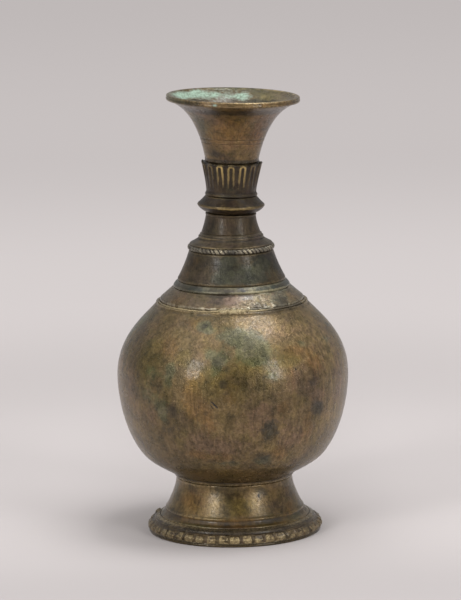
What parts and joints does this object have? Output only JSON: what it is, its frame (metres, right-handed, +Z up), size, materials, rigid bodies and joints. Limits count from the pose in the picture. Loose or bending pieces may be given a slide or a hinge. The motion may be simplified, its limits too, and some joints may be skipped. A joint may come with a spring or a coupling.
{
  "type": "bronze bottle vase",
  "caption": "Bronze bottle vase with a round belly, a flared foot with a tongue border, and a slim ringed neck that opens into a wide trumpet mouth.",
  "frame": {"origin": "middle of the flat ring under the foot, on the surface that the vase stands on", "axes": "+Z up along the axis of the foot and belly, front towards -Y, the top of the neck leans slightly towards +X"},
  "size_m": [0.116, 0.116, 0.2211],
  "materials": {
    "golden_bronze": "brown-gold patina, softly polished",
    "dark_bronze": "dark brown patina",
    "worn_brass": "raised edges worn bright",
    "solder": "dull and rough"
  },
  "bodies": {
    "root": {"foot_pedestal": "golden_bronze", "foot_border": "worn_brass", "foot_solder": "solder", "belly": "golden_bronze", "shoulder_cap": "golden_bronze", "shoulder_solder": "solder", "shoulder_ring": "dark_bronze", "neck_bell": "dark_bronze", "stepped_flange": "dark_bronze", "notched_band": "worn_brass", "neck_cone": "dark_bronze", "knop": "dark_bronze", "petal_collar": "dark_bronze", "mouth_funnel": "golden_bronze"}
  },
  "joints": []
}
